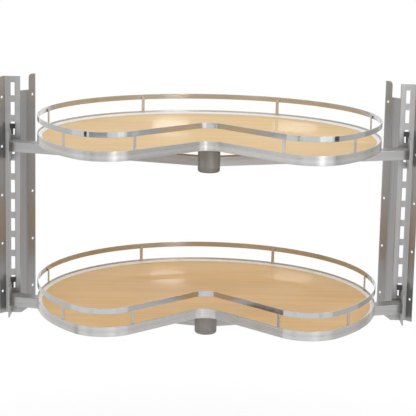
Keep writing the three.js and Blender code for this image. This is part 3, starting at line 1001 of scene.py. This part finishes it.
class CAROUSEL_OT_edge_trims(Undoable, bpy.types.Operator):
    """Pale trims that slope up from the board to the band"""

    bl_idname = "carousel.edge_trims"
    bl_label = "Edge trims"

    def execute(self, context):
        chosen = context.scene.carousel
        tray = chosen.tray
        finish = trim_strip(chosen.finish)
        outer = tray.bar_thickness + tray.fit_gap
        inner = outer + tray.trim_width
        for node in tier_nodes("edge_trim"):
            low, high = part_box(node)
            corners = [
                (outer, low.z, 0),
                (inner, low.z, 0),
                (inner, low.z + tray.trim_lip, tray.trim_lip / 4),
                (outer + tray.trim_crest, high.z, tray.trim_edge),
                (outer, high.z, tray.trim_edge),
            ]
            show(node, "strip", swept(tray, rounded_section(corners)), finish)
        return {"FINISHED"}


def flat_bar(tray, node):
    """A flat bar with rounded edges, bent round the tray."""
    low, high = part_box(node)
    edge = tray.bar_edge
    corners = [
        (0, low.z, edge),
        (tray.bar_thickness, low.z, edge),
        (tray.bar_thickness, high.z, edge),
        (0, high.z, edge),
    ]
    return swept(tray, rounded_section(corners, steps=3))


class CAROUSEL_OT_bands(Undoable, bpy.types.Operator):
    """Brushed bands round the boards"""

    bl_idname = "carousel.bands"
    bl_label = "Bands"

    def execute(self, context):
        chosen = context.scene.carousel
        finish = band_nickel(chosen.finish)
        for node in tier_nodes("band"):
            show(node, "bar", flat_bar(chosen.tray, node), finish)
        return {"FINISHED"}


class CAROUSEL_OT_rails(Undoable, bpy.types.Operator):
    """Polished guard rails above the bands"""

    bl_idname = "carousel.rails"
    bl_label = "Rails"

    def execute(self, context):
        chosen = context.scene.carousel
        finish = rail_chrome(chosen.finish)
        for node in tier_nodes("rail"):
            show(node, "bar", flat_bar(chosen.tray, node), finish)
        return {"FINISHED"}


class CAROUSEL_OT_posts(Undoable, bpy.types.Operator):
    """Flat posts that carry the rails"""

    bl_idname = "carousel.posts"
    bl_label = "Posts"

    def execute(self, context):
        chosen = context.scene.carousel
        finish = post_nickel(chosen.finish)
        for node in sorted(n for n in frame["nodes"] if n.endswith("_post")):
            show(node, "bar", self.bar(node, chosen.tray), finish)
        return {"FINISHED"}

    def bar(self, node, tray):
        """A bar as wide and thick as the node's, turned to face out of the tray."""
        points = [v.co for v in frame["nodes"][node].data.vertices]
        low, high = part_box(node)
        middle = (low + high) / 2
        if "notch" in node:
            facing = -math.pi / 2 - math.copysign(STRAIGHT_SIDE, middle.x)
        else:
            facing = math.atan2(middle.y, middle.x)
        out = Vector((math.cos(facing), math.sin(facing), 0))
        across = Vector((-out.y, out.x, 0))
        thick = max(abs((p - middle).dot(out)) for p in points)
        wide = max(abs((p - middle).dot(across)) for p in points)
        tall = (high.z - low.z) / 2
        shape = bmesh.new()
        place = Matrix.Translation(middle) @ Matrix.Rotation(facing, 4, "Z")
        add_bar(shape, Vector((-thick, -wide, -tall)), Vector((thick, wide, tall)), place)
        round_edges(shape, list(shape.edges), tray.post_edge, segments=3)
        return shape


# ---- Stage -------------------------------------------------------
SOFT_BOXES = {
    # name: (place, width, height, strength)
    "key_left": ((-2.0, -3.2, 2.2), 1.5, 1.5, 10.0),
    "key_right": ((2.6, -2.2, 1.9), 1.3, 1.3, 7.0),
    "front_spark": ((1.70, -3.7, 0.98), 1.2, 0.12, 18.0),
    "gloss_left": ((-0.20, 4.3, 1.11), 0.20, 0.07, 0.36),
    "gloss_right": ((0.44, 4.3, 1.10), 0.24, 0.06, 0.20),
}
AIM = Vector((0, 0, 0.3))          # what the soft boxes point at, between the trays
CARDS = {
    # upright cards that only metal mirrors, name: (low corner, high corner, tone)
    "low_right": ((1.6, -0.65, -0.55), (1.6, -0.10, -0.18), (0.74, 0.72, 0.68)),
    "left_wall": ((-1.6, 0.0, -0.55), (-1.6, 2.2, 0.60), (0.80, 0.79, 0.78)),
    "right_wall": ((1.6, -0.10, -0.55), (1.6, 0.60, 0.50), (0.72, 0.70, 0.68)),
    "back_right": ((1.6, 0.60, -0.55), (1.6, 2.4, 0.50), (0.50, 0.48, 0.46)),
    "upper_right": ((1.6, -1.0, -0.18), (1.6, -0.10, 0.60), (0.66, 0.66, 0.66)),
    "bright_strip": ((0.47, -1.15, 0.29), (1.36, -1.15, 0.62), (1.40, 1.40, 1.40)),
    "arm_shade_left": ((-2.9, -3.0, -0.54), (-1.7, -3.0, -0.12), (0.08, 0.075, 0.07)),
    "arm_shade_right": ((1.7, -2.85, -0.54), (2.9, -2.85, -0.12), (0.08, 0.075, 0.07)),
    "low_left": ((-1.6, -0.60, -0.55), (-1.6, -0.05, -0.27), (0.16, 0.07, 0.02)),
    # small ones in front of the object, each seen by one stretch of the upper rail
    "accent_left": ((-0.580, -0.470, 0.472), (-0.546, -0.520, 0.54), (0.02, 0.02, 0.02)),
    "accent_right": ((0.585, -0.479, 0.472), (0.627, -0.381, 0.54), (0.08, 0.08, 0.08)),
    "rail_shade": ((-0.543, -0.591, 0.478), (-0.158, -0.700, 0.54), (0.46, 0.46, 0.46)),
}
WHITE = (1, 1, 1, 1)
FLOOR_ROUGHNESS = 0.9
SHADOW_CORE = 0.25                 # share of the shadow's reach over which it is at its fullest
SENSOR_WIDTH = 36.0                # in millimetres


class CAROUSEL_OT_stage(Undoable, bpy.types.Operator):
    """Pale floor, soft light and the camera"""

    bl_idname = "carousel.stage"
    bl_label = "Stage"

    def execute(self, context):
        stage = context.scene.carousel.stage
        self.add_floor(stage)
        self.add_world(stage)
        for name, (place, *shape) in SOFT_BOXES.items():
            self.add_soft_box(name, Vector(place), *shape)
        for name, (low, high, tone) in CARDS.items():
            self.add_card(name, Vector(low), Vector(high), tone)
        self.add_camera(stage)
        bpy.context.scene.view_settings.view_transform = "Standard"
        return {"FINISHED"}

    def add_floor(self, stage):
        shape = bmesh.new()
        bmesh.ops.create_grid(shape, x_segments=1, y_segments=1, size=stage.floor_size / 2)
        floor = add_object("floor", mesh_of("floor", shape))
        floor.data.materials.append(
            material("floor", lambda tree, shader: self.paint_floor(tree, shader, stage))
        )
        floor.location.z = -stage.floor_drop

    def paint_floor(self, tree, shader, stage):
        """Its own shading near the axis, fading to the white background. It is clear from below."""
        feed(tree, shader, Base_Color=rgba(stage.floor_colour), Roughness=FLOOR_ROUGHNESS)
        place = object_place(tree)
        away = put(tree, "ShaderNodeVectorMath", {0: place}, operation="LENGTH").outputs["Value"]
        core = SHADOW_CORE * stage.shadow_reach
        near = spread(tree, away, low=core, high=stage.shadow_reach, to_low=1.0, to_high=0.0)
        whiteness = maths(tree, "SUBTRACT", 1.0, scaled(tree, near, by=stage.shadow_share))
        share = scaled(tree, whiteness, by=seen_ray(tree))
        white = put(tree, "ShaderNodeEmission", {"Color": WHITE, "Strength": 1.0}).outputs[0]
        clear = put(tree, "ShaderNodeBsdfTransparent").outputs[0]
        below = put(tree, "ShaderNodeNewGeometry").outputs["Backfacing"]
        mixed = put(tree, "ShaderNodeMixShader", {0: share, 1: shader.outputs[0], 2: white}).outputs[0]
        surface = put(tree, "ShaderNodeMixShader", {0: below, 1: mixed, 2: clear}).outputs[0]
        tree.links.new(surface, tree.nodes["Material Output"].inputs["Surface"])

    def add_world(self, stage):
        world = bpy.data.worlds.new("studio")
        world.use_nodes = True
        tree = world.node_tree
        light = tree.nodes["Background"]
        light.inputs["Color"].default_value = WHITE
        strength = spread(tree, seen_ray(tree), to_low=stage.world_light, to_high=1.0)
        tree.links.new(strength, light.inputs["Strength"])
        bpy.context.scene.world = world

    def add_soft_box(self, name, place, width, height, strength):
        lamp = bpy.data.lights.new(name, "AREA")
        lamp.shape = "ELLIPSE"
        lamp.size = width
        lamp.size_y = height
        lamp.energy = strength
        box = add_object(name, lamp)
        box.location = place
        box.rotation_euler = (AIM - place).to_track_quat("-Z", "Y").to_euler()

    def add_card(self, name, low, high, tone):
        """An upright card between two corners."""
        shape = bmesh.new()
        corners = (low, (high.x, high.y, low.z), high, (low.x, low.y, high.z))
        shape.faces.new([shape.verts.new(corner) for corner in corners])
        card = add_object(name, mesh_of(name, shape))
        card.data.materials.append(
            material(f"{name}_tone", lambda tree, shader: self.paint_card(tree, tone))
        )
        card.visible_camera = False
        card.visible_diffuse = False
        card.visible_shadow = False

    def paint_card(self, tree, tone):
        glow = put(tree, "ShaderNodeEmission", {"Color": rgba(tone), "Strength": 1.0}).outputs[0]
        tree.links.new(glow, tree.nodes["Material Output"].inputs["Surface"])

    def add_camera(self, stage):
        data = bpy.data.cameras.new("camera")
        data.lens = stage.camera_lens
        data.sensor_width = SENSOR_WIDTH
        camera = add_object("camera", data)
        camera.location = (0, -stage.camera_distance, stage.camera_height)
        tilt = Euler((math.pi / 2 - stage.camera_pitch, 0, 0)).to_matrix()
        camera.rotation_euler = (tilt @ Matrix.Rotation(stage.camera_roll, 3, "Z")).to_euler()
        bpy.context.scene.camera = camera


def seen_ray(tree):
    """1 for the rays that see the background: the camera's, and those off metal or through glass."""
    path = put(tree, "ShaderNodeLightPath").outputs
    shiny = maths(tree, "MAXIMUM", path["Is Glossy Ray"], path["Is Transmission Ray"])
    return maths(tree, "MAXIMUM", path["Is Camera Ray"], shiny)


# ---- Panel -------------------------------------------------------
OPERATORS = (
    CAROUSEL_OT_stage,
    CAROUSEL_OT_uprights,
    CAROUSEL_OT_hook_plates,
    CAROUSEL_OT_arms,
    CAROUSEL_OT_lock_clips,
    CAROUSEL_OT_hubs,
    CAROUSEL_OT_bearings,
    CAROUSEL_OT_turntables,
    CAROUSEL_OT_tray_screws,
    CAROUSEL_OT_boards,
    CAROUSEL_OT_edge_trims,
    CAROUSEL_OT_bands,
    CAROUSEL_OT_rails,
    CAROUSEL_OT_posts,
)


class CAROUSEL_PT_panel(bpy.types.Panel):
    """The carousel's pieces and settings"""

    bl_label = "Corner carousel"
    bl_idname = "CAROUSEL_PT_panel"
    bl_space_type = "VIEW_3D"
    bl_region_type = "UI"
    bl_category = "Carousel"

    def draw(self, context):
        chosen = context.scene.carousel
        for operator in OPERATORS:
            self.layout.operator(operator.bl_idname)
        for name, group in GROUPS.items():
            box = self.layout.box()
            box.label(text=name.capitalize())
            for setting in group.__annotations__:
                box.prop(getattr(chosen, name), setting)


CLASSES = (*GROUPS.values(), CarouselSettings, *OPERATORS, CAROUSEL_PT_panel)


def register():
    for each in CLASSES:
        bpy.utils.register_class(each)
    bpy.types.Scene.carousel = PointerProperty(type=CarouselSettings)


def unregister():
    del bpy.types.Scene.carousel
    for each in reversed(CLASSES):
        bpy.utils.unregister_class(each)


def main():
    register()
    for operator in OPERATORS:
        group, name = operator.bl_idname.split(".")
        getattr(getattr(bpy.ops, group), name)()


if __name__ == "__main__":
    main()
